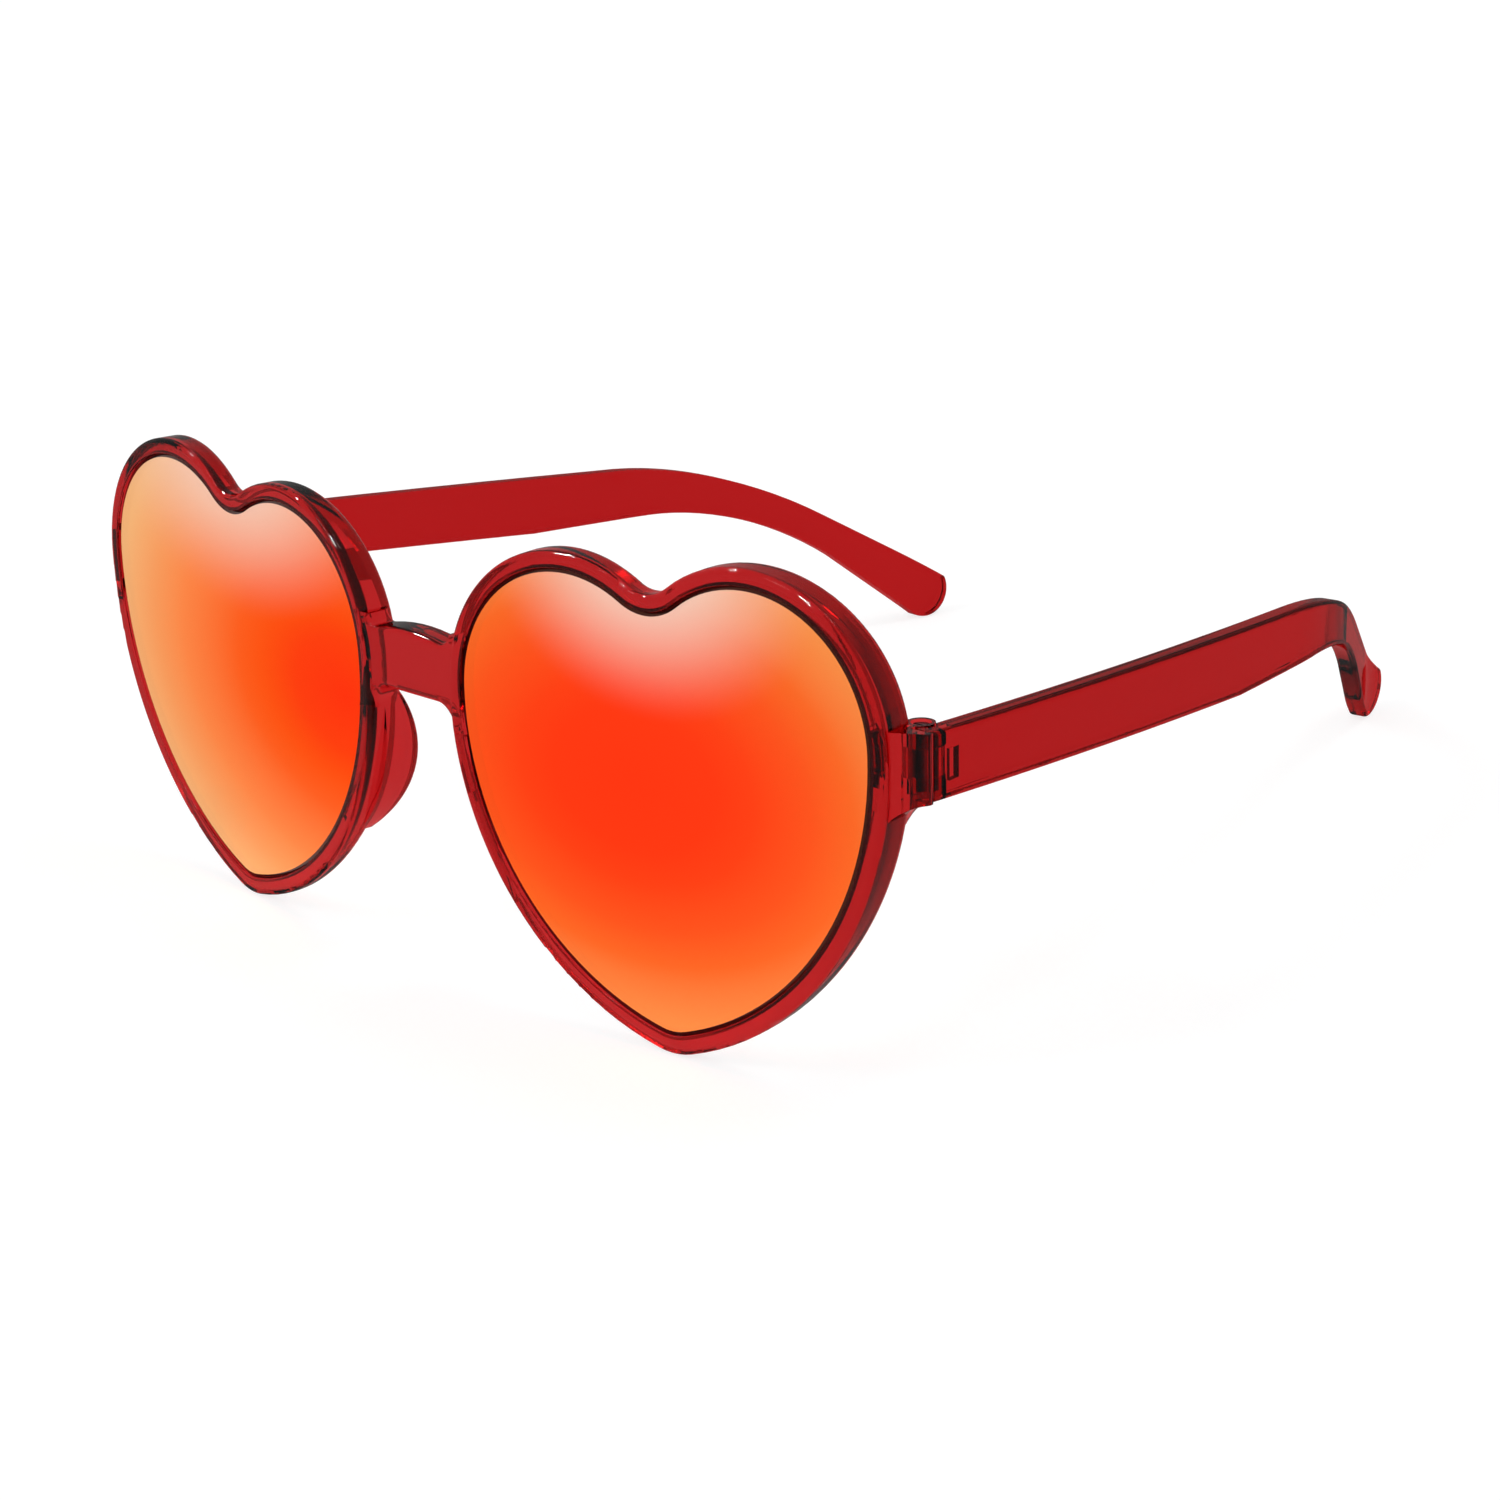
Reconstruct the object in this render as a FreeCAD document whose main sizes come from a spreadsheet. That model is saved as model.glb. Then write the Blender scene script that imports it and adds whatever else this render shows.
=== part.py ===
import FreeCAD, Part
import math
import os
import re
import Sketcher
from FreeCAD import Placement, Rotation, Vector

# Heart shaped sunglasses, open and standing on the two heart tips and the two temple tips.
# +X is the wearer's left, +Y points back along the temples, +Z is up. Lengths are millimetres.

SIZES = {
    # Heart of the visible lens, six tangent arcs about the heart's own centre
    "outer_lobe_radius": 16.6,
    "outer_lobe_side": 13.4,
    "outer_lobe_rise": 8.9,
    "inner_lobe_radius": 17.0,
    "inner_lobe_side": 12.9,
    "inner_lobe_rise": 6.7,
    "outer_flank_radius": 40.0,
    "inner_flank_radius": 36.5,
    "tip_radius": 7.0,
    "tip_side": 0.8,
    "tip_drop": 22.8,
    "cleft_radius": 6.9,
    # Rims
    "bridge_gap": 14.94,
    "wrap_angle": 5.8,
    "rim_width": 2.0,
    "rim_side_depth": 5.95,
    "rim_nose_depth": 5.2,
    "rim_back_radius": 230.0,
    "rim_back_overrun": 6.0,
    "rim_back_tilt": 1.15,
    "rim_tip_drop": 0.35,
    "rim_front_round": 0.7,
    "rim_back_round": 1.2,
    "rim_mouth_round": 0.22,
    # Lenses in their grooves
    "lens_thickness": 1.5,
    "lens_recess": 0.35,
    "lens_bite": 0.35,
    "lens_bevel_line": 0.5,
    "lens_bevel_depth": 0.4,
    "lens_side_clearance": 0.1,
    "lens_face_clearance": 0.05,
    "rear_lip": 2.4,
    "rear_lip_shift_in": 1.2,
    "rear_lip_shift_down": 0.8,
    # Bridge
    "bridge_top": 12.2,
    "bridge_bottom": 3.9,
    "bridge_arch_radius": 28.0,
    "bridge_depth": 3.6,
    "bridge_recess": 0.3,
    "bridge_root": 1.5,
    "bridge_top_round": 1.4,
    "bridge_under_round": 3.0,
    "bridge_edge_round": 0.6,
    "bridge_nose_round": 1.2,
    # Nose pads, curved wings that swell from the rims' nose side and reach past their back
    "pad_root": 2.9,
    "pad_top_rise": 2.8,
    "pad_top_inset": 0.6,
    "pad_low_drop": 17.5,
    "pad_low_inset": 8.25,
    "pad_bite": 1.7,
    "pad_swell_radius": 20.8,
    "pad_inner_radius": 29.3,
    "pad_end_sink": 0.8,
    "pad_back_radius": 19.2,
    "pad_round": 0.45,
    # Hinges
    "hinge_outset": 0.43,
    "hinge_setback": 0.1,
    "hinge_rise": 8.3,
    "hinge_height": 7.9,
    "barrel_radius": 1.6,
    "knuckle_height": 3.2,
    "knuckle_gap": 0.15,
    "swing_clearance": 0.2,
    "butt_setback": 2.55,
    "butt_gap": 0.18,
    "lug_root": 1.55,
    "lug_reach": 4.9,
    "lug_edge": 0.6,
    "lug_round": 0.3,
    "lug_foot": 4.0,
    "lug_foot_radius": 7.0,
    "web_width": 0.4,
    # Hinge screws
    "screw_radius": 0.7,
    "screw_clearance": 0.05,
    "screw_head_radius": 1.1,
    "screw_head_height": 0.7,
    "screw_head_sink": 0.35,
    "screw_slot_width": 0.3,
    "screw_slot_depth": 0.3,
    "screw_end_inset": 0.6,
    # Temples, seen from above and from the side, from the hinge axis
    "temple_face": 3.35,
    "temple_thickness": 2.8,
    "temple_round": 0.6,
    "bow_radius": 900.0,
    "bow_end_back": 80.5,
    "bow_end_out": 1.28,
    "toe_radius": 74.5,
    "toe_back": 102.65,
    "toe_in": 3.45,
    "flick_back": 126.9,
    "flick_radius": 24.4,
    "end_back": 140.95,
    "top_bend_back": 80.35,
    "top_bend_drop": 1.92,
    "top_bend_radius": 73.6,
    "top_ear_back": 114.3,
    "top_ear_drop": 13.04,
    "top_tip_back": 135.1,
    "top_tip_drop": 25.93,
    "tip_round_share": 1.055,
    "low_tip_back": 129.4,
    "low_tip_drop": 31.64,
    "low_ear_back": 115.85,
    "low_ear_drop": 20.26,
    "low_bend_radius": 51.0,
    "low_bend_back": 86.2,
    "low_bend_drop": 9.8,
    "low_waist_back": 64.95,
    "low_waist_drop": 9.35,
    "recess_back": 1.85,
    "recess_length": 1.7,
    "recess_height": 3.6,
    "recess_drop": 0.9,
    "recess_depth": 0.8,
    # One overrun serves every cut
    "overrun": 1.0,
}

# Two places closer than this are the same place
NEAR = 1e-4
# The search for the angle at which the part stands starts from these two, in degrees
FIRST_LEANS = (0.0, 1.0)

doc = FreeCAD.newDocument("heart_sunglasses")
sheet = doc.addObject("Spreadsheet::Sheet", "sizes")
for row, (alias, size) in enumerate(SIZES.items(), start=1):
    sheet.set(f"A{row}", alias)
    sheet.set(f"B{row}", str(size))
    sheet.setAlias(f"B{row}", alias)
doc.recompute()


def linked(text):
    """The same formula with every size name read from the sheet."""
    return re.sub(r"[a-z_]+", lambda word: "sizes." + word[0] if word[0] in SIZES else word[0], text)


def bind(item, path, text):
    item.setExpression(path, linked(text))


def number(text):
    return float(sheet.evalExpression(linked(text)))


def new_sketch(body, name, role, lift="0", slide=("0", "0"), turn=0, tilt=0):
    """An empty sketch on one of the body's planes, lifted and slid along its axes, then turned and tilted."""
    plane = next(item for item in body.Origin.OriginFeatures if item.Role == role)
    sketch = body.newObject("Sketcher::SketchObject", name)
    sketch.AttachmentSupport = (plane, [""])
    sketch.MapMode = "FlatFace"
    spin = Rotation(Vector(1, 0, 0), tilt) * Rotation(Vector(0, 0, 1), turn)
    sketch.AttachmentOffset = Placement(Vector(), spin)
    for axis, text in zip("xyz", (*slide, lift)):
        bind(sketch, f"AttachmentOffset.Base.{axis}", text)
    return sketch


def add_bound(sketch, kind, where, text):
    """Add one dimension to a sketch and bind it to its formula."""
    index = sketch.addConstraint(Sketcher.Constraint(kind, *where, number(text)))
    sketch.setExpression(f"Constraints[{index}]", linked(text))


def pin_point(sketch, edge, end, across, up):
    """Hold one end, or the centre, of an edge at a place measured from the sketch's origin."""
    origin = (-1, 1)
    for kind, text in (("DistanceX", across), ("DistanceY", up)):
        if number(text) < 0:
            add_bound(sketch, kind, (edge, end, *origin), f"-({text})")
        else:
            add_bound(sketch, kind, (*origin, edge, end), text)


def end_at(sketch, edge, point):
    """Which end of an edge, 1 or 2, lies at the point."""
    gaps = [sketch.getPoint(edge, end).distanceToPoint(point) for end in (1, 2)]
    return 1 if gaps[0] < gaps[1] else 2


def draw_outline(sketch, corners, arcs):
    """A closed outline through the corners. arcs gives an edge's radius, and 1 where it turns left."""
    points = [Vector(number(across), number(up), 0) for across, up in corners]
    first = sketch.GeometryCount
    for index, start in enumerate(points):
        end = points[(index + 1) % len(points)]
        if index not in arcs:
            sketch.addGeometry(Part.LineSegment(start, end))
            continue
        radius_text, turn = arcs[index]
        radius = number(radius_text)
        chord = end - start
        right = Vector(chord.y, -chord.x, 0).normalize()
        sagitta = radius - math.sqrt(radius ** 2 - (chord.Length / 2) ** 2)
        sketch.addGeometry(Part.Arc(start, (start + end) / 2 + right * turn * sagitta, end))
    for index, corner in enumerate(corners):
        edge = first + index
        before = first + (index - 1) % len(corners)
        here = (edge, end_at(sketch, edge, points[index]))
        there = (before, end_at(sketch, before, points[index]))
        sketch.addConstraint(Sketcher.Constraint("Coincident", *there, *here))
        pin_point(sketch, *here, *corner)
    for index, (radius_text, turn) in arcs.items():
        add_bound(sketch, "Radius", (first + index,), radius_text)


def draw_circle(sketch, radius):
    sketch.addGeometry(Part.Circle(Vector(), Vector(0, 0, 1), number(radius)))
    sketch.addConstraint(Sketcher.Constraint("Coincident", 0, 3, -1, 1))
    add_bound(sketch, "Radius", (0,), radius)


def meeting_centre(first, first_reach, second, second_reach, turn):
    """The point at the given distances from two centres, left (1) or right (-1) of their line."""
    line = second - first
    along = (first_reach ** 2 - second_reach ** 2 + line.Length ** 2) / (2 * line.Length)
    aside = math.sqrt(first_reach ** 2 - along ** 2)
    line.normalize()
    return first + line * along + Vector(-line.y, line.x, 0) * (turn * aside)


def draw_heart(sketch, side, grow, drop="0"):
    """The lens heart, grown all round and its tip lowered. side is 1 for +X and -1 for -X."""
    lobes = {
        "outer_lobe": (f"{side} * outer_lobe_side", "outer_lobe_rise", f"outer_lobe_radius + {grow}"),
        "inner_lobe": (f"{-side} * inner_lobe_side", "inner_lobe_rise", f"inner_lobe_radius + {grow}"),
        "tip": (f"{side} * tip_side", f"-tip_drop - {drop}", f"tip_radius + {grow}"),
    }
    centre = {name: Vector(number(lobe[0]), number(lobe[1]), 0) for name, lobe in lobes.items()}
    radius = {name: number(lobe[2]) for name, lobe in lobes.items()}
    links = {
        "outer_flank": (f"outer_flank_radius + {grow}", "outer_lobe", "tip", -side),
        "inner_flank": (f"inner_flank_radius + {grow}", "inner_lobe", "tip", side),
        "cleft": (f"cleft_radius - ({grow})", "outer_lobe", "inner_lobe", -side),
    }
    touch = {}
    for name, (text, one, other, turn) in links.items():
        radius[name] = number(text)
        sign = 1 if name == "cleft" else -1
        reach = [abs(radius[name] + sign * radius[lobe]) for lobe in (one, other)]
        centre[name] = meeting_centre(centre[one], reach[0], centre[other], reach[1], turn)
        for lobe in (one, other):
            away = (centre[name] - centre[lobe]).normalize()
            touch[name, lobe] = centre[lobe] + away * (sign * radius[lobe])
    edges = {}
    for name, ends in {
        "outer_lobe": (("outer_flank", "outer_lobe"), ("cleft", "outer_lobe")),
        "inner_lobe": (("cleft", "inner_lobe"), ("inner_flank", "inner_lobe")),
        "tip": (("inner_flank", "tip"), ("outer_flank", "tip")),
        "outer_flank": (("outer_flank", "tip"), ("outer_flank", "outer_lobe")),
        "inner_flank": (("inner_flank", "inner_lobe"), ("inner_flank", "tip")),
        "cleft": (("cleft", "inner_lobe"), ("cleft", "outer_lobe")),
    }.items():
        start, end = touch[ends[0]], touch[ends[1]]
        if side < 0:
            start, end = end, start
        turns = [math.atan2(point.y - centre[name].y, point.x - centre[name].x) for point in (start, end)]
        circle = Part.Circle(centre[name], Vector(0, 0, 1), radius[name])
        edges[name] = sketch.addGeometry(Part.ArcOfCircle(circle, *turns))
    for (name, lobe), point in touch.items():
        ends = [(edges[arc], end_at(sketch, edges[arc], point)) for arc in (name, lobe)]
        sketch.addConstraint(Sketcher.Constraint("Tangent", *ends[0], *ends[1]))
    for name, (across, up, text) in lobes.items():
        pin_point(sketch, edges[name], 3, across, up)
        add_bound(sketch, "Radius", (edges[name],), text)
    for name, (text, one, other, turn) in links.items():
        add_bound(sketch, "Radius", (edges[name],), text)


def pad(sketch, length, backwards=False):
    body = sketch.getParentGeoFeatureGroup()
    feature = body.newObject("PartDesign::Pad", sketch.Name + "_pad")
    feature.Profile = sketch
    feature.Reversed = backwards
    bind(feature, "Length", length)
    doc.recompute()
    return feature


def pocket(sketch, length, backwards=False):
    """Cut the sketch into its body, and stop if nothing was cut."""
    body = sketch.getParentGeoFeatureGroup()
    before = body.Shape.Volume
    feature = body.newObject("PartDesign::Pocket", sketch.Name + "_pocket")
    feature.Profile = sketch
    feature.Reversed = backwards
    bind(feature, "Length", length)
    doc.recompute()
    if body.Shape.Volume >= before:
        raise ValueError(f"{feature.Name} cuts nothing")
    return feature


def chosen_edges(body, chosen):
    """The body's last feature and the names of its edges for which chosen is true."""
    edges = enumerate(body.Tip.Shape.Edges, start=1)
    return body.Tip, [f"Edge{index}" for index, edge in edges if chosen(edge)]


def round_edges(body, name, radius, chosen):
    """Fillet the edges of the body's last feature for which chosen is true."""
    base = chosen_edges(body, chosen)
    feature = body.newObject("PartDesign::Fillet", name)
    feature.Base = base
    bind(feature, "Radius", radius)
    doc.recompute()
    return feature


def lies_at(edge, axis, place):
    """True where the whole edge lies in the plane at that place on the axis."""
    box = edge.BoundBox
    return max(abs(getattr(box, axis + end) - place) for end in ("Min", "Max")) < NEAR


def new_body(name):
    return doc.addObject("PartDesign::Body", name)


# Each side is built in its rim's own frame: x to the temple, y back from the rim's front face, z up
RIM_SIDE = "(outer_lobe_side + outer_lobe_radius + rim_width)"
RIM_NOSE = "(inner_lobe_side + inner_lobe_radius + rim_width)"
HINGE_SIDE = f"({RIM_SIDE} + hinge_outset)"
RIM_TALL = "(outer_lobe_rise + outer_lobe_radius + tip_drop + tip_radius + rim_width)"
RIM_DEEP = "(rim_side_depth + rim_nose_depth)"
HINGE_BACK = "(rim_side_depth + hinge_setback)"
# The rims' back is one arc, through the two depths just beside the rim, and its cut runs on past them
BACK_NOSE = f"({RIM_NOSE} + rim_back_overrun)"
BACK_SIDE = f"({RIM_SIDE} + rim_back_overrun)"
BACK_SPAN = f"({RIM_SIDE} + {RIM_NOSE} + 2 * overrun)"
BACK_SLOPE = f"((rim_side_depth - rim_nose_depth) / {BACK_SPAN})"
BACK_RISE = f"sqrt(rim_back_radius ^ 2 / (1 + {BACK_SLOPE} ^ 2) - ({BACK_SPAN} / 2) ^ 2)"
BACK_ACROSS = f"(({RIM_SIDE} - {RIM_NOSE}) / 2 - {BACK_SLOPE} * {BACK_RISE})"
BACK_BEHIND = f"((rim_side_depth + rim_nose_depth) / 2 + {BACK_RISE})"
TOE_CHORD = "sqrt((bow_end_out + toe_in) ^ 2 + (toe_back - bow_end_back) ^ 2)"
TOE_LINE = "atan((bow_end_out + toe_in) / (toe_back - bow_end_back))"
TOE_START = f"({TOE_LINE} - asin({TOE_CHORD} / (2 * toe_radius)))"
TOE_END = f"({TOE_LINE} + asin({TOE_CHORD} / (2 * toe_radius)))"
FLICK_END = f"asin(sin({TOE_END}) - (end_back - flick_back) / flick_radius)"
SCREW_TOP = "hinge_height / 2 - screw_head_sink"
SCREW_END = "screw_end_inset - hinge_height / 2"
placed = []


def back_depth(across):
    """How deep the rim's back arc lies at a place across the rim."""
    return f"{BACK_BEHIND} - sqrt(rim_back_radius ^ 2 - ({across} - {BACK_ACROSS}) ^ 2)"


def rim_frame(side):
    """Where a rim stands: turned back about its nose side by the wrap angle."""
    wrap = number("wrap_angle")
    nose = number(RIM_NOSE)
    across = number("bridge_gap / 2") + nose * math.cos(math.radians(wrap))
    back = nose * math.sin(math.radians(wrap))
    return Placement(Vector(side * across, back, 0), Rotation(Vector(0, 0, 1), side * wrap))


def hinge_frame(side):
    """The hinge axis at the middle of the knuckles."""
    hinge = Vector(side * number(HINGE_SIDE), number(HINGE_BACK), number("hinge_rise"))
    return rim_frame(side) * Placement(hinge, Rotation())


def put(item, frame):
    placed.append((item, frame))
    return item


def make_rim(side, suffix):
    """A heart ring with a mouth in front, a groove for the lens and a lip behind it."""
    body = new_body(f"rim_{suffix}")
    outline = new_sketch(body, f"rim_outline_{suffix}", "XZ_Plane")
    draw_heart(outline, side, "rim_width", "rim_tip_drop")
    pad(outline, RIM_DEEP, backwards=True)
    round_edges(body, f"rim_front_{suffix}", "rim_front_round", lambda edge: lies_at(edge, "Y", 0))
    shift = ("0", f"({RIM_TALL} - hinge_rise) * tan(rim_back_tilt)")
    behind = new_sketch(body, f"rim_back_{suffix}", "XY_Plane", lift=RIM_TALL, slide=shift,
                        tilt=-number("rim_back_tilt"))
    nose, temporal = f"{-side} * {BACK_NOSE}", f"{side} * {BACK_SIDE}"
    draw_outline(behind, [(nose, back_depth(f"(-{BACK_NOSE})")), (temporal, back_depth(BACK_SIDE)),
                          (temporal, f"{RIM_DEEP} + overrun"), (nose, f"{RIM_DEEP} + overrun")],
                 {0: ("rim_back_radius", side)})
    pocket(behind, f"2 * {RIM_TALL}")
    front = number("rim_front_round") + NEAR
    round_edges(body, f"rim_back_round_{suffix}", "rim_back_round", lambda edge: edge.BoundBox.YMin > front)
    mouth = new_sketch(body, f"rim_mouth_{suffix}", "XZ_Plane", lift="overrun")
    draw_heart(mouth, side, "0")
    pocket(mouth, "lens_recess + overrun")
    ahead = number("overrun") + NEAR
    round_edges(body, f"rim_mouth_round_{suffix}", "rim_mouth_round",
                lambda edge: lies_at(edge, "Y", 0) and mouth.Shape.distToShape(edge)[0] < ahead)
    groove = new_sketch(body, f"lens_groove_{suffix}", "XZ_Plane",
                        lift="lens_face_clearance - lens_recess")
    draw_heart(groove, side, "lens_bite + lens_side_clearance")
    pocket(groove, "lens_thickness + 2 * lens_face_clearance")
    shift = (f"{-side} * rear_lip_shift_in", "-rear_lip_shift_down")
    lip = new_sketch(body, f"rear_lip_{suffix}", "XZ_Plane", lift="-lens_recess", slide=shift)
    draw_heart(lip, side, "-rear_lip")
    pocket(lip, RIM_DEEP)
    return put(body, rim_frame(side))


def make_lens(side, suffix):
    """A flat heart lens with a bevel round its front, whose edge sits in the rim's groove."""
    body = new_body(f"lens_{suffix}")
    outline = new_sketch(body, f"lens_outline_{suffix}", "XZ_Plane", lift="-lens_recess")
    draw_heart(outline, side, "lens_bite")
    pad(outline, "lens_thickness", backwards=True)
    front = number("lens_recess")
    base = chosen_edges(body, lambda edge: lies_at(edge, "Y", front))
    bevel = body.newObject("PartDesign::Chamfer", f"lens_bevel_{suffix}")
    bevel.Base = base
    bevel.ChamferType = "Two distances"
    bind(bevel, "Size", "lens_bevel_depth")
    bind(bevel, "Size2", "lens_bite + lens_bevel_line")
    doc.recompute()
    return put(body, rim_frame(side))


def make_nose_pad(side, suffix):
    """A wing along the rim's nose side, swelling towards the nose and arched past the rim's back."""
    body = new_body(f"nose_pad_{suffix}")
    front = "rim_nose_depth - pad_root"
    profile = new_sketch(body, f"pad_profile_{suffix}", "XZ_Plane", lift=f"-({front})")
    top, low = f"{RIM_NOSE} - pad_top_inset", f"{RIM_NOSE} - pad_low_inset"
    corners = [
        (top, "pad_top_rise"),
        (f"{top} - pad_bite", "pad_top_rise"),
        (f"{low} - pad_bite", "-pad_low_drop"),
        (low, "-pad_low_drop"),
    ]
    draw_outline(profile, [(f"{-side} * ({across})", up) for across, up in corners],
                 {1: ("pad_inner_radius", side), 3: ("pad_swell_radius", -side)})
    pad(profile, "pad_root + pad_back_radius", backwards=True)
    arch = new_sketch(body, f"pad_arch_{suffix}", "YZ_Plane", lift=RIM_NOSE if side < 0 else "0")
    ends = "rim_nose_depth - pad_end_sink"
    behind = "rim_nose_depth + pad_back_radius + overrun"
    corners = [
        (ends, "-pad_low_drop"),
        (ends, "pad_top_rise"),
        (ends, "pad_top_rise + overrun"),
        (behind, "pad_top_rise + overrun"),
        (behind, "-pad_low_drop - overrun"),
        (ends, "-pad_low_drop - overrun"),
    ]
    draw_outline(arch, corners, {0: ("pad_back_radius", 1)})
    pocket(arch, RIM_NOSE)
    root = number(front) + NEAR
    tall = number("pad_low_drop")
    round_edges(body, f"pad_rounds_{suffix}", "pad_round",
                lambda edge: edge.BoundBox.ZLength > tall and edge.BoundBox.YMax > root)
    return put(body, rim_frame(side))


def make_lug(side, suffix):
    """The end block beside the rim, with the web and the barrel of the front's two knuckles."""
    body = new_body(f"lug_{suffix}")
    plan = new_sketch(body, f"lug_plan_{suffix}", "XY_Plane", lift="-hinge_height / 2 - lug_foot")
    corners = [
        ("-hinge_outset - lug_root", "-hinge_setback - lug_reach"),
        ("-hinge_outset", "-hinge_setback - lug_reach"),
        ("temple_face", "-butt_setback - lug_edge"),
        ("temple_face", "-butt_setback"),
        ("web_width", "-butt_setback"),
        ("web_width", "0"),
        ("-barrel_radius", "0"),
        ("-hinge_outset - lug_root", "-hinge_setback"),
    ]
    draw_outline(plan, [(f"{side} * ({across})", back) for across, back in corners], {})
    pad(plan, "hinge_height + lug_foot")
    under = new_sketch(body, f"lug_under_{suffix}", "XZ_Plane", lift=HINGE_BACK)
    root, low = "-hinge_outset - lug_root", "-hinge_height / 2 - lug_foot"
    corners = [
        (root, low),
        ("temple_face", "-hinge_height / 2"),
        ("temple_face + overrun", "-hinge_height / 2"),
        ("temple_face + overrun", f"{low} - overrun"),
        (root, f"{low} - overrun"),
    ]
    draw_outline(under, [(f"{side} * ({across})", up) for across, up in corners],
                 {0: ("lug_foot_radius", -side)})
    pocket(under, f"2 * {HINGE_BACK}")
    face = number("temple_face")
    round_edges(body, f"lug_rounds_{suffix}", "lug_round",
                lambda edge: lies_at(edge, "X", side * face) and edge.BoundBox.ZLength > edge.BoundBox.YLength
                and edge.BoundBox.YMin < -number("butt_setback + lug_edge / 2"))
    barrel = new_sketch(body, f"lug_barrel_{suffix}", "XY_Plane", lift="-hinge_height / 2")
    draw_circle(barrel, "barrel_radius")
    pad(barrel, "hinge_height")
    return put(body, hinge_frame(side))


def make_bridge():
    """The arched bar between the rims, with soft corners into both."""
    body = new_body("bridge")
    profile = new_sketch(body, "bridge_profile", "XZ_Plane", lift="-bridge_recess")
    half = "bridge_gap / 2"
    lobe = "(inner_lobe_radius + rim_width)"
    end_radius = f"({lobe} - bridge_root)"
    shoulder = f"({half} - bridge_top_round) / (1 + bridge_top_round / bridge_arch_radius)"
    arch_up = f"sqrt(bridge_arch_radius ^ 2 - ({shoulder}) ^ 2)"
    shoulder_up = f"bridge_top - bridge_arch_radius + {arch_up}"
    top_up = f"{shoulder_up} + bridge_top_round * {arch_up} / bridge_arch_radius"
    arch = f"{half} - bridge_under_round"
    low = "bridge_bottom - bridge_under_round"
    low_root, top_root = [f"{half} + {lobe} - sqrt({end_radius} ^ 2 - ({up} - inner_lobe_rise) ^ 2)"
                          for up in (low, top_up)]
    right = [(low_root, low), (top_root, top_up), (half, top_up), (shoulder, shoulder_up)]
    left = [(f"-({across})", up) for across, up in reversed(right)]
    under = [(f"-({half})", low), (f"-({arch})", "bridge_bottom"), (arch, "bridge_bottom"), (half, low)]
    arcs = {
        0: (end_radius, -1),
        2: ("bridge_top_round", -1),
        3: ("bridge_arch_radius", 1),
        4: ("bridge_top_round", -1),
        6: (end_radius, -1),
        8: ("bridge_under_round", -1),
        10: ("bridge_under_round", -1),
    }
    draw_outline(profile, right + left + under, arcs)
    pad(profile, "bridge_depth", backwards=True)
    front = number("bridge_recess")
    back = number("bridge_recess + bridge_depth")
    reach = number(half) + NEAR
    middle = number("(bridge_top + bridge_bottom) / 2")
    round_edges(body, "bridge_nose_round", "bridge_nose_round",
                lambda edge: lies_at(edge, "Y", front) and edge.BoundBox.ZMax < middle
                and max(-edge.BoundBox.XMin, edge.BoundBox.XMax) < reach)
    round_edges(body, "bridge_rounds", "bridge_edge_round",
                lambda edge: (lies_at(edge, "Y", back)
                              or lies_at(edge, "Y", front) and edge.BoundBox.ZMin > middle)
                and max(-edge.BoundBox.XMin, edge.BoundBox.XMax) < reach)
    return put(body, Placement())


def make_cutter(name, side, radius, height, low):
    """A cylinder on the hinge axis that clears the front's knuckles."""
    cutter = doc.addObject("Part::Cylinder", name)
    bind(cutter, "Radius", radius)
    bind(cutter, "Height", height)
    return put(cutter, hinge_frame(side) * Placement(Vector(0, 0, number(low)), Rotation()))


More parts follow.
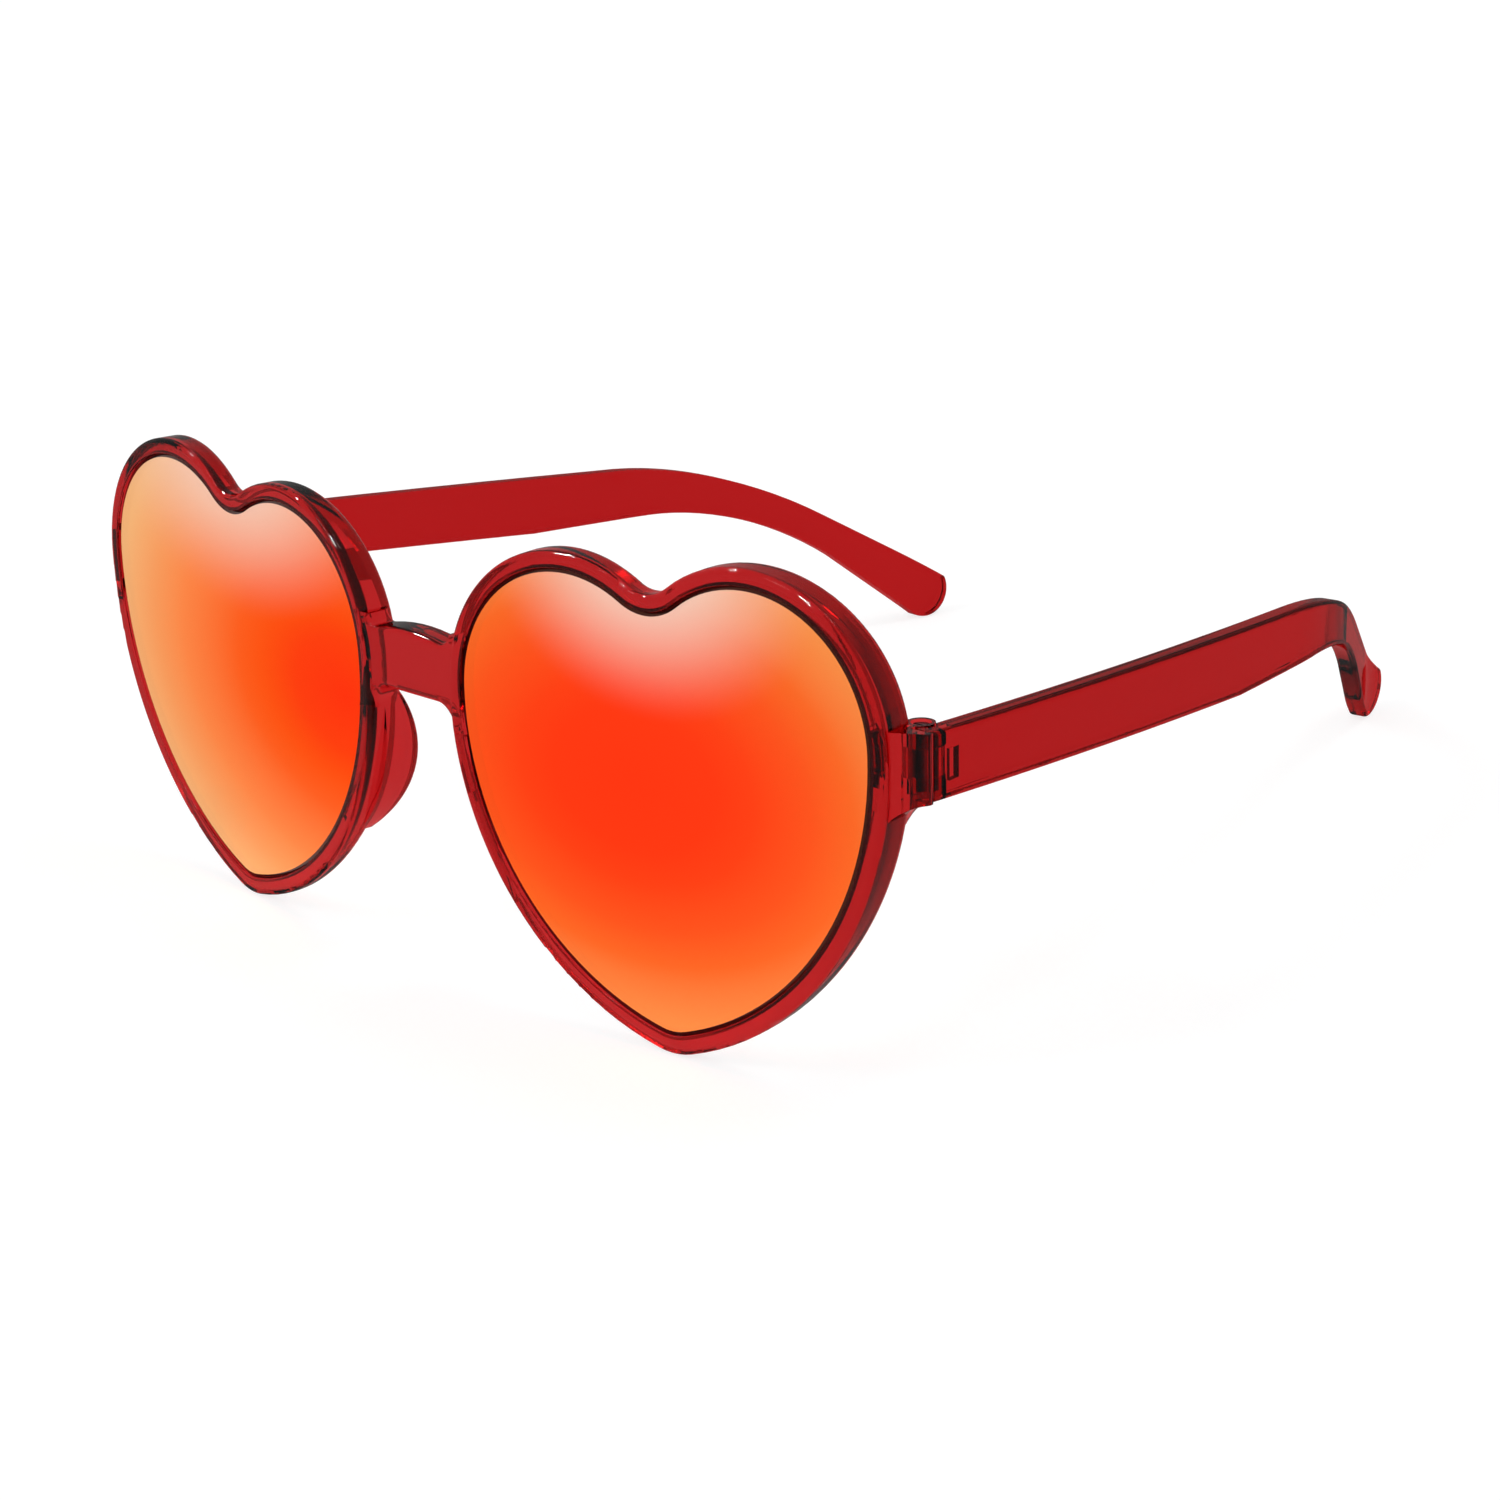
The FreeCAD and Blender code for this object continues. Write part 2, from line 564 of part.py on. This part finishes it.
def make_temple(side, suffix):
    """The side arm: its outline from above, cut to its outline from the side, with its knuckle."""
    body = new_body(f"temple_{suffix}")
    tip_span = "sqrt((top_tip_back - low_tip_back) ^ 2 + (low_tip_drop - top_tip_drop) ^ 2)"
    tip_radius = f"tip_round_share * {tip_span} / 2"
    room = f"(low_tip_drop + {tip_span} + overrun)"
    butt = "butt_gap - butt_setback"
    flick_in = f"(toe_in + (flick_back - toe_back) * tan({TOE_END}))"
    end_in = f"({flick_in} + flick_radius * (cos({FLICK_END}) - cos({TOE_END})))"
    face = [
        ("temple_face", butt),
        ("bow_end_out", "bow_end_back"),
        ("-toe_in", "toe_back"),
        (f"-{flick_in}", "flick_back"),
        (f"-{end_in}", "end_back"),
    ]
    turns = (TOE_START, TOE_END, TOE_END, FLICK_END)
    back = [("temple_face - temple_thickness", butt)]
    for (across, along), turn in zip(face[1:], turns):
        back.append((f"{across} - temple_thickness * cos({turn})",
                     f"{along} - temple_thickness * sin({turn})"))
    plan = new_sketch(body, f"temple_plan_{suffix}", "XY_Plane", lift=f"-{room}")
    corners = [(f"{side} * ({across})", along) for across, along in face + back[::-1]]
    arcs = {
        0: ("bow_radius", side),
        1: ("toe_radius", side),
        3: ("flick_radius", -side),
        5: ("flick_radius + temple_thickness", side),
        7: ("toe_radius - temple_thickness", -side),
        8: ("bow_radius", -side),
    }
    draw_outline(plan, corners, arcs)
    pad(plan, f"2 * {room}")
    sides = new_sketch(body, f"temple_side_{suffix}", "YZ_Plane", lift=room)
    ahead, behind = "-overrun - butt_setback", f"end_back + {room}"
    draw_outline(sides, [(ahead, f"-{room} - overrun"), (behind, f"-{room} - overrun"),
                         (behind, f"{room} + overrun"), (ahead, f"{room} + overrun")], {})
    profile = [
        (butt, "-hinge_height / 2"),
        ("low_waist_back", "-low_waist_drop"),
        ("low_bend_back", "-low_bend_drop"),
        ("low_ear_back", "-low_ear_drop"),
        ("low_tip_back", "-low_tip_drop"),
        ("top_tip_back", "-top_tip_drop"),
        ("top_ear_back", "-top_ear_drop"),
        ("top_bend_back", "-top_bend_drop"),
        (butt, "hinge_height / 2"),
    ]
    bends = {2: ("low_bend_radius", -1), 4: (tip_radius, 1), 6: ("top_bend_radius", 1)}
    draw_outline(sides, profile, bends)
    pocket(sides, f"2 * {room}")
    start = number("barrel_radius + swing_clearance")
    round_edges(body, f"temple_rounds_{suffix}", "temple_round", lambda edge: edge.BoundBox.YMax > start)
    seam = 180 if side > 0 else 0  # the round cuts start on the side away from the arm
    knuckle = new_sketch(body, f"temple_knuckle_{suffix}", "XY_Plane", lift="-knuckle_height / 2", turn=seam)
    draw_circle(knuckle, "barrel_radius")
    pad(knuckle, "knuckle_height")
    swing = "barrel_radius + swing_clearance"
    above = new_sketch(body, f"upper_swing_{suffix}", "XY_Plane", lift="hinge_height / 2 + overrun",
                       turn=seam)
    draw_circle(above, swing)
    pocket(above, "(hinge_height - knuckle_height) / 2 + overrun")
    below = new_sketch(body, f"lower_swing_{suffix}", "XY_Plane", lift="-knuckle_height / 2", turn=seam)
    draw_circle(below, swing)
    pocket(below, "(hinge_height - knuckle_height) / 2 + overrun")
    bore = new_sketch(body, f"temple_bore_{suffix}", "XY_Plane", lift="knuckle_height / 2 + overrun",
                      turn=seam)
    draw_circle(bore, "screw_radius + screw_clearance")
    pocket(bore, "knuckle_height + 2 * overrun")
    inside = f"{side} * (temple_face - temple_thickness - overrun)"
    recess = new_sketch(body, f"temple_recess_{suffix}", "YZ_Plane", lift=inside)
    recess_end = "recess_back + recess_length"
    recess_low, recess_top = "-recess_drop - recess_height / 2", "recess_height / 2 - recess_drop"
    draw_outline(recess, [("recess_back", recess_low), (recess_end, recess_low),
                          (recess_end, recess_top), ("recess_back", recess_top)], {})
    pocket(recess, "recess_depth + overrun", backwards=side > 0)
    return put(body, hinge_frame(side))


def make_screw(side, suffix):
    """A slotted screw let into the top knuckle and threaded into the bottom one."""
    body = new_body(f"hinge_screw_{suffix}")
    seat = f"{SCREW_TOP} - screw_head_height"
    shank = new_sketch(body, f"screw_shank_{suffix}", "XY_Plane", lift=SCREW_END)
    draw_circle(shank, "screw_radius")
    pad(shank, f"{seat} - ({SCREW_END})")
    head = new_sketch(body, f"screw_head_{suffix}", "XY_Plane", lift=seat)
    draw_circle(head, "screw_head_radius")
    pad(head, "screw_head_height")
    slot = new_sketch(body, f"screw_slot_{suffix}", "XY_Plane", lift=SCREW_TOP)
    reach, wide = "screw_head_radius + overrun", "screw_slot_width / 2"
    draw_outline(slot, [(f"-({reach})", f"-({wide})"), (reach, f"-({wide})"),
                        (reach, wide), (f"-({reach})", wide)], {})
    pocket(slot, "screw_slot_depth")
    return put(body, hinge_frame(side))


def make_hinge_cuts(side, suffix):
    """The window for the temple's knuckle, the screw's bore and the seat of its head."""
    window = "knuckle_height + 2 * knuckle_gap"
    bore_low = f"{SCREW_END} - screw_clearance"
    return [
        make_cutter(f"knuckle_window_{suffix}", side, "barrel_radius + swing_clearance",
                    window, f"-({window}) / 2"),
        make_cutter(f"screw_bore_{suffix}", side, "screw_radius + screw_clearance", "hinge_height", bore_low),
        make_cutter(f"screw_seat_{suffix}", side, "screw_head_radius + screw_clearance",
                    "screw_head_height + overrun", f"{SCREW_TOP} - screw_head_height"),
    ]


def lowest(item, lean):
    """The height of the item's lowest point when it leans back by an angle about X."""
    shape = item.Shape.copy()
    shape.Placement = Placement(Vector(), Rotation(Vector(1, 0, 0), -lean)) * shape.Placement
    return shape.optimalBoundingBox(False, False).ZMin


def standing_lean(rim, temple):
    """The angle at which the heart tip and the temple tip stand on one plane, by the secant rule."""
    before, lean = FIRST_LEANS
    gap_before = lowest(temple, before) - lowest(rim, before)
    gap = lowest(temple, lean) - lowest(rim, lean)
    while abs(gap) > NEAR:
        before, lean = lean, lean - gap * (lean - before) / (gap - gap_before)
        gap_before, gap = gap, lowest(temple, lean) - lowest(rim, lean)
    return lean


bridge = make_bridge()
rims, grown, cuts, lenses, temples, screws = [], [], [], [], [], []
for side, suffix in ((1, "left"), (-1, "right")):
    rims.append(make_rim(side, suffix))
    grown += [make_nose_pad(side, suffix), make_lug(side, suffix)]
    cuts += make_hinge_cuts(side, suffix)
    lenses.append(make_lens(side, suffix))
    temples.append(make_temple(side, suffix))
    screws.append(make_screw(side, suffix))

for item, frame in placed:
    item.Placement = frame
doc.recompute()

# Stand it on the heart tips and the temple tips, with the middle of its base at the origin
lean = Placement(Vector(), Rotation(Vector(1, 0, 0), -standing_lean(rims[0], temples[0])))
for item, frame in placed:
    item.Placement = lean * frame
doc.recompute()
whole = Part.makeCompound([item.Shape for item in [*rims, *grown, *temples]]).optimalBoundingBox(False, False)
rest = Placement(Vector(0, -whole.Center.y, -whole.ZMin), Rotation()) * lean
for item, frame in placed:
    item.Placement = rest * frame

moulding = doc.addObject("Part::MultiFuse", "front_moulding")
moulding.Shapes = [bridge, *rims, *grown]
hinge_cuts = doc.addObject("Part::Compound", "hinge_cuts")
hinge_cuts.Links = cuts
front = doc.addObject("Part::Cut", "front_frame")
front.Base = moulding
front.Tool = hinge_cuts
doc.recompute()

failed = [item.Name for item in doc.Objects if {"Invalid", "Error"} & set(item.State)]
if failed:
    raise ValueError(f"failed objects: {failed}")
os.makedirs("parts", exist_ok=True)
for node in [front, *lenses, *temples, *screws]:
    if node.Shape.isNull() or not node.Shape.isValid() or len(node.Shape.Solids) != 1:
        raise ValueError(f"{node.Label} is not one valid solid")
    node.Shape.exportStep(f"parts/{node.Label}.step")
    box = node.Shape.optimalBoundingBox(False, False)
    print(f"{node.Label}: {node.Shape.Volume:.1f} mm3, x {box.XMin:.2f} to {box.XMax:.2f}, "
          f"y {box.YMin:.2f} to {box.YMax:.2f}, z {box.ZMin:.2f} to {box.ZMax:.2f}")
for side, suffix in ((1, "left"), (-1, "right")):
    hinge = rest * hinge_frame(side)
    axis = hinge.Rotation.multVec(Vector(0, 0, 1))
    print(f"hinge axis {suffix}: at {tuple(hinge.Base)} along {tuple(axis)}")
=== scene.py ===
import math

import bpy
import bmesh
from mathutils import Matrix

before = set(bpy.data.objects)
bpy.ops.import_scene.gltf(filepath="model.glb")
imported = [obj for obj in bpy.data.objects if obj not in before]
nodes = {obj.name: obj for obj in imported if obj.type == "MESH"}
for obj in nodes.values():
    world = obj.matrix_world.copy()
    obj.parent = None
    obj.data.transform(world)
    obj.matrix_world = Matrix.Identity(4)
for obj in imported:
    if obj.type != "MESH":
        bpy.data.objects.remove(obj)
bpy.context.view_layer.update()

# Front moulding: both heart rims, the bridge, the nose pads and the hinge lugs in one shot of
# clear red polycarbonate. Its walls glow red against a pale ground, and go dark where the eye looks
# along a wall.
MM = 0.001


def linear(hex_colour):
    """An sRGB hex colour as linear red, green, blue and a full alpha."""
    parts = [int(hex_colour[i:i + 2], 16) / 255 for i in (1, 3, 5)]
    return [p / 12.92 if p <= 0.04045 else ((p + 0.055) / 1.055) ** 2.4 for p in parts] + [1.0]


def add(tree, kind, settings=(), **inputs):
    """One node of that kind in the tree, with its settings, and its inputs set or linked."""
    node = tree.nodes.new(kind)
    for name, value in dict(settings).items():
        setattr(node, name, value)
    for name, value in inputs.items():
        key = int(name[1:]) if name[1:].isdigit() else name.replace("_", " ")
        if isinstance(value, bpy.types.NodeSocket):
            tree.links.new(value, node.inputs[key])
        else:
            node.inputs[key].default_value = value
    return node


def new_material(name):
    """An empty node material and its output node."""
    material = bpy.data.materials.new(name)
    material.use_nodes = True
    material.node_tree.nodes.clear()
    return material, material.node_tree.nodes.new("ShaderNodeOutputMaterial")


def dress(node_name, material):
    """The CAD node keeps its mesh and wears this one material."""
    node = nodes[node_name]
    node.data.materials.clear()
    node.data.materials.append(material)


def clear_red(name, tint, depth_mm, mirror_share):
    """Moulded clear red plastic: a polished skin that mirrors only a share, as through a polarising
    filter, and a red dye that leaves the tint of white light after depth_mm of plastic. Most of the
    dye counts at the skin, and the index is 1.4, not the 1.58 of polycarbonate, because the real
    thick walls are hardly darker than the thin ones."""
    material, out = new_material(name)
    tree = material.node_tree
    index = 1.4
    skin_share = 0.75
    wear_mm = 3.0
    place = add(tree, "ShaderNodeTexCoord").outputs["Object"]
    wear = add(tree, "ShaderNodeTexNoise", Vector=place, Scale=1 / (wear_mm * MM), Detail=4.0)
    polish = add(tree, "ShaderNodeMapRange", Value=wear.outputs["Fac"], From_Min=0.3, From_Max=0.7,
                 To_Min=0.02, To_Max=0.06)
    inside = add(tree, "ShaderNodeNewGeometry").outputs["Backfacing"]
    filtered = add(tree, "ShaderNodeMapRange", Value=inside, To_Min=mirror_share, To_Max=1.0)
    glance = add(tree, "ShaderNodeFresnel", IOR=index)
    mirrored = add(tree, "ShaderNodeMath", {"operation": "MULTIPLY"}, _0=glance.outputs[0],
                   _1=filtered.outputs[0])
    skin_tint = [each ** (skin_share / 2) for each in linear(tint)]
    bend = add(tree, "ShaderNodeBsdfRefraction", Color=skin_tint, IOR=index,
               Roughness=polish.outputs[0])
    gloss = add(tree, "ShaderNodeBsdfGlossy", Color=(1.0, 1.0, 1.0, 1.0),
                Roughness=polish.outputs[0])
    skin = add(tree, "ShaderNodeMixShader", _0=mirrored.outputs[0], _1=bend.outputs[0],
               _2=gloss.outputs[0])
    dye = add(tree, "ShaderNodeVolumeAbsorption")
    loss = [-math.log(each) * (1 - skin_share) / (depth_mm * MM) for each in linear(tint)[:3]]
    dye.inputs["Density"].default_value = max(loss)
    dye.inputs["Color"].default_value = [1 - each / max(loss) for each in loss] + [1.0]
    tree.links.new(skin.outputs[0], out.inputs["Surface"])
    tree.links.new(dye.outputs[0], out.inputs["Volume"])
    return material


dress("front_frame", clear_red("clear_red_polycarbonate", "#b0181a", depth_mm=4.8, mirror_share=0.22))

# Lenses: flat smoke polycarbonate cut to a heart and bevelled round its front. A vacuum-coated mirror
# on the flat runs from red through orange to tan. That run is partly the coating's own colour and
# partly painted reflection, placed differently on each lens. The pale peach patch below the top of the
# heart is a painted highlight. The uncoated bevel and edge are dark: partly the smoke's own tone,
# partly painted shade of the groove round the lens. A little light still goes through.


def colour_ramp(tree, value, stops):
    """A ramp from the first stop's colour to the last one's, by the value."""
    ramp = add(tree, "ShaderNodeValToRGB", Fac=value)
    while len(ramp.color_ramp.elements) < len(stops):
        ramp.color_ramp.elements.new(0.5)
    for element, (place, colour) in zip(ramp.color_ramp.elements, stops):
        element.position = place
        element.color = linear(colour)
    return ramp.outputs[0]


def away_from(tree, place, middle_mm, reach_mm):
    """How far a place is from the middle, across and up, as a share of the reach."""
    no_depth = 1000.0
    scaled = add(tree, "ShaderNodeMapping", {"vector_type": "TEXTURE"}, Vector=place,
                 Location=(middle_mm[0] * MM, 0.0, middle_mm[1] * MM),
                 Scale=(reach_mm[0] * MM, no_depth, reach_mm[1] * MM))
    length = add(tree, "ShaderNodeVectorMath", {"operation": "LENGTH"}, _0=scaled.outputs[0])
    return length.outputs["Value"]


def mirror_lens(name, red_mm, reach_mm, stops, highlight_mm, highlight_reach_mm):
    """A lens whose coating is red at one place and goes through the stops, a run that is partly painted
    reflection, with a painted peach highlight at another place. Only the flat front is coated: the
    bevel leans more than the flat's cosine allows, and the uncoated bevel and edge are dark, partly
    with painted shade."""
    material, out = new_material(name)
    tree = material.node_tree
    flat_cosine = 0.97
    coating_strength = 0.92
    place = add(tree, "ShaderNodeTexCoord").outputs["Object"]
    # The ramp gives the coating's run from red to tan, partly the coating's colour and partly painted
    # reflection.
    tone = colour_ramp(tree, away_from(tree, place, red_mm, reach_mm), stops)
    # The pale peach patch below the top of the heart is a painted highlight.
    pale = add(tree, "ShaderNodeMapRange", {"interpolation_type": "SMOOTHSTEP"},
               Value=away_from(tree, place, highlight_mm, highlight_reach_mm), To_Min=1.0, To_Max=0.0)
    coat_and_painted_light = add(tree, "ShaderNodeMix", {"data_type": "RGBA"}, _0=pale.outputs[0], _6=tone,
               _7=linear("#f4ddcd"))
    facing = add(tree, "ShaderNodeSeparateXYZ",
                 Vector=add(tree, "ShaderNodeNewGeometry").outputs["True Normal"])
    ahead = add(tree, "ShaderNodeMath", {"operation": "LESS_THAN"}, _0=facing.outputs["Y"],
                _1=-flat_cosine)
    behind = add(tree, "ShaderNodeMath", {"operation": "GREATER_THAN"}, _0=facing.outputs["Y"],
                 _1=flat_cosine)
    # The uncoated bevel and edge get a dark colour, partly the smoke's own tone and partly painted
    # shade of the groove round the lens. The back face gets a pale smoke tint.
    uncoated_and_shaded = add(tree, "ShaderNodeMix", {"data_type": "RGBA"}, _0=behind.outputs[0],
               _6=linear("#2a1412"), _7=linear("#b89c90"))
    colour = add(tree, "ShaderNodeMix", {"data_type": "RGBA"}, _0=ahead.outputs[0],
                 _6=uncoated_and_shaded.outputs[2], _7=coat_and_painted_light.outputs[2])
    mirror = add(tree, "ShaderNodeMath", {"operation": "MULTIPLY"}, _0=ahead.outputs[0],
                 _1=coating_strength)
    clear = add(tree, "ShaderNodeMath", {"operation": "ADD"}, _0=ahead.outputs[0], _1=behind.outputs[0])
    shader = add(tree, "ShaderNodeBsdfPrincipled", Base_Color=colour.outputs[2],
                 Metallic=mirror.outputs[0], Transmission_Weight=clear.outputs[0])
    shader.inputs["Roughness"].default_value = 0.12
    shader.inputs["IOR"].default_value = 1.5
    shader.inputs["Specular Tint"].default_value = linear("#ff9068")
    tree.links.new(shader.outputs[0], out.inputs["Surface"])
    return material


# Each lens's run of coating colours is partly painted reflection, placed to suit that lens.
left_coating_and_reflection = [(0.0, "#fe3712"), (0.29, "#fe3a13"), (0.42, "#fd4216"), (0.61, "#fb561f"),
                (0.75, "#f96a28"), (0.83, "#f87c3a"), (1.0, "#f7964e")]
right_coating_and_reflection = [(0.0, "#fe3e16"), (0.21, "#fd4a21"), (0.46, "#fc6a3b"), (0.71, "#fb945c"),
                 (0.84, "#f7aa71"), (1.0, "#f4c48c")]
dress("lens_left", mirror_lens("mirror_lens_left", red_mm=(35.7, 32.4), reach_mm=(41.4, 28.8),
                               stops=left_coating_and_reflection, highlight_mm=(38.2, 60.0), highlight_reach_mm=(26.0, 20.3)))
dress("lens_right", mirror_lens("mirror_lens_right", red_mm=(-13.3, 33.4), reach_mm=(56.0, 35.0),
                                stops=right_coating_and_reflection, highlight_mm=(-37.0, 60.0), highlight_reach_mm=(36.0, 21.5)))

# Temples: one moulded arm each side, in the same clear red polycarbonate as the front, dyed so that
# about one arm's thickness gives the full tint. Each has its knuckle moulded on, and mirrors less
# than the front does.
arm_plastic = clear_red("clear_red_polycarbonate_arm", "#ae1719", depth_mm=2.9, mirror_share=0.1)
dress("temple_left", arm_plastic)
dress("temple_right", arm_plastic)

# Hinge screws: small turned steel screws, blackened, that pin each temple's knuckle in the front's
# lug. The turning leaves a fine uneven gloss, drawn as fine as the head shows it.
turning_mm = 0.15
screw_steel, screw_out = new_material("blackened_steel")
screw_tree = screw_steel.node_tree
screw_place = add(screw_tree, "ShaderNodeTexCoord").outputs["Object"]
turning = add(screw_tree, "ShaderNodeTexNoise", Vector=screw_place, Scale=1 / (turning_mm * MM))
turned = add(screw_tree, "ShaderNodeMapRange", Value=turning.outputs["Fac"], To_Min=0.25, To_Max=0.45)
steel = add(screw_tree, "ShaderNodeBsdfPrincipled", Base_Color=linear("#3a3436"), Metallic=1.0,
            Roughness=turned.outputs[0])
screw_tree.links.new(steel.outputs[0], screw_out.inputs["Surface"])
dress("hinge_screw_left", screw_steel)
dress("hinge_screw_right", screw_steel)

# Studio: a pale paper floor that keeps the shadow, a white surround, and distant round lamps. The
# camera stands at the photograph's viewing angle.
floor_reach = 4.0
floor_mesh = bmesh.new()
bmesh.ops.create_grid(floor_mesh, x_segments=1, y_segments=1, size=floor_reach)
floor_data = bpy.data.meshes.new("floor")
floor_mesh.to_mesh(floor_data)
floor_mesh.free()
floor = bpy.data.objects.new("floor", floor_data)
bpy.context.scene.collection.objects.link(floor)


def seen_directly(tree):
    """1 for a ray from the camera, off a gloss or through clear plastic, and 0 for the rest."""
    path = add(tree, "ShaderNodeLightPath")
    first = add(tree, "ShaderNodeMath", {"operation": "MAXIMUM"}, _0=path.outputs["Is Camera Ray"],
                _1=path.outputs["Is Glossy Ray"])
    return add(tree, "ShaderNodeMath", {"operation": "MAXIMUM"}, _0=first.outputs[0],
               _1=path.outputs["Is Transmission Ray"]).outputs[0]


paper, paper_out = new_material("white_paper")
paper_tree = paper.node_tree
plain = add(paper_tree, "ShaderNodeBsdfDiffuse", Color=(0.8, 0.8, 0.8, 1.0))
shaded = add(paper_tree, "ShaderNodeBsdfDiffuse", Color=(0.3, 0.3, 0.3, 1.0))
glow = add(paper_tree, "ShaderNodeEmission", Color=(1.0, 1.0, 1.0, 1.0), Strength=0.8)
bright = add(paper_tree, "ShaderNodeAddShader", _0=shaded.outputs[0], _1=glow.outputs[0])
ground = add(paper_tree, "ShaderNodeMixShader", _0=seen_directly(paper_tree),
             _1=plain.outputs[0], _2=bright.outputs[0])
paper_tree.links.new(ground.outputs[0], paper_out.inputs["Surface"])
floor.data.materials.append(paper)

world = bpy.data.worlds.new("white_surround")
bpy.context.scene.world = world
world.use_nodes = True
sky = world.node_tree
sky.nodes.clear()
fill = add(sky, "ShaderNodeBackground", Color=(1.0, 1.0, 1.0, 1.0), Strength=0.55)
white = add(sky, "ShaderNodeBackground", Color=(1.0, 1.0, 1.0, 1.0), Strength=1.0)
surround = add(sky, "ShaderNodeMixShader", _0=seen_directly(sky), _1=fill.outputs[0],
               _2=white.outputs[0])
add(sky, "ShaderNodeOutputWorld", Surface=surround.outputs[0])


def studio_lamp(name, place, spread_deg, strength):
    """A distant round lamp that shines from the direction of a place, spread over an angle."""
    data = bpy.data.lights.new(name, "SUN")
    data.angle = math.radians(spread_deg)
    data.energy = strength
    lamp = bpy.data.objects.new(name, data)
    bpy.context.scene.collection.objects.link(lamp)
    lamp.rotation_euler = (math.atan2(math.hypot(place[0], place[1]), place[2]), 0.0,
                           math.atan2(place[1], place[0]) + math.pi / 2)
    return lamp


studio_lamp("key_lamp", (-0.35, -0.75, 0.9), spread_deg=14.0, strength=0.5)
studio_lamp("top_lamp", (0.3, 0.4, 1.0), spread_deg=14.0, strength=0.4)

# Two lamps show only as highlights along the polished edges, and light nothing else.
for name, place in [("left_sparkle", (-0.66, -0.30, 0.69)), ("front_sparkle", (0.0, -0.59, 0.81))]:
    sparkle = studio_lamp(name, place, spread_deg=8.0, strength=8.0)
    sparkle.visible_diffuse = False
    sparkle.visible_transmission = False

camera_data = bpy.data.cameras.new("camera")
camera_data.sensor_width = 36.0
camera_data.lens = 72.0
camera_data.clip_start = 0.01
camera = bpy.data.objects.new("camera", camera_data)
bpy.context.scene.collection.objects.link(camera)
camera.location = (0.271800, -0.280953, 0.154057)
camera.rotation_euler = [math.radians(angle) for angle in (69.40566, 3.77757, 44.22822)]
bpy.context.scene.camera = camera
bpy.context.scene.view_settings.view_transform = "Standard"
